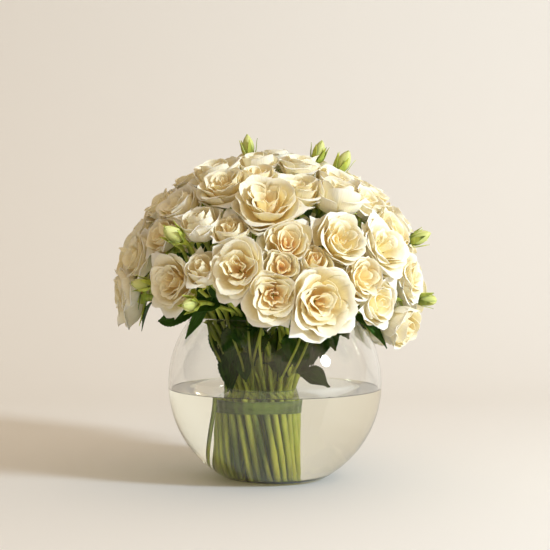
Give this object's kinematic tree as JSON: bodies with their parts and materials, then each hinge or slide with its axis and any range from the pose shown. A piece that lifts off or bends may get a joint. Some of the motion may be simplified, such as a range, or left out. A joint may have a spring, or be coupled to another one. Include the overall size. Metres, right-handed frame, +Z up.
{
  "type": "floral table centerpiece",
  "caption": "Low, dense dome of cream roses with green buds and leaves, its stems tied by hand and standing in a round clear glass bowl of water.",
  "frame": {"origin": "middle of the underside of the bowl's flat foot, on the surface that it stands on", "axes": "+Z up, -Y towards the front of the bouquet as pictured, +X to its right"},
  "size_m": [0.3041, 0.296, 0.3209],
  "materials": {
    "glass": "clear blown glass, smooth, with a fire-polished lip",
    "water": "clear water with a faint green tint from the stems",
    "petals": "soft matt cream petals, warmer and more golden towards the hearts",
    "buds": "closed buds with green sepals and pale cream petals",
    "leaves": "dark green rose leaves with a soft sheen",
    "stems": "fresh yellow-green rose stems, satin",
    "tie": "stretched green florist's tape"
  },
  "bodies": {
    "root": {"bud_01": "buds", "bud_02": "buds", "bud_03": "buds", "bud_04": "buds", "bud_05": "buds", "bud_06": "buds", "bud_07": "buds", "bud_08": "buds", "glass_bowl": "glass", "leaf_front": "leaves", "leaf_inner": "leaves", "leaf_left": "leaves", "leaf_right": "leaves", "leaf_rim": "leaves", "loose_stem": "stems", "rose_01": "petals", "rose_02": "petals", "rose_03": "petals", "rose_04": "petals", "rose_05": "petals", "rose_06": "petals", "rose_07": "petals", "rose_08": "petals", "rose_09": "petals", "rose_10": "petals", "rose_11": "petals", "rose_12": "petals", "rose_13": "petals", "rose_15": "petals", "rose_16": "petals", "rose_17": "petals", "rose_18": "petals", "rose_20": "petals", "rose_21": "petals", "rose_22": "petals", "rose_23": "petals", "rose_24": "petals", "rose_25": "petals", "rose_26": "petals", "rose_27": "petals", "rose_28": "petals", "rose_29": "petals", "rose_30": "petals", "rose_31": "petals", "rose_32": "petals", "rose_33": "petals", "spray_back_1": "petals", "spray_back_2": "petals", "spray_back_3": "petals", "spray_back_4": "petals", "spray_back_5": "petals", "spray_back_6": "petals", "spray_back_7": "petals", "spray_back_8": "petals", "spray_back_9": "petals", "spray_left": "petals", "spray_right": "petals", "stem_bunch": "stems", "tie_band": "tie", "vase_water": "water"}
  },
  "joints": []
}
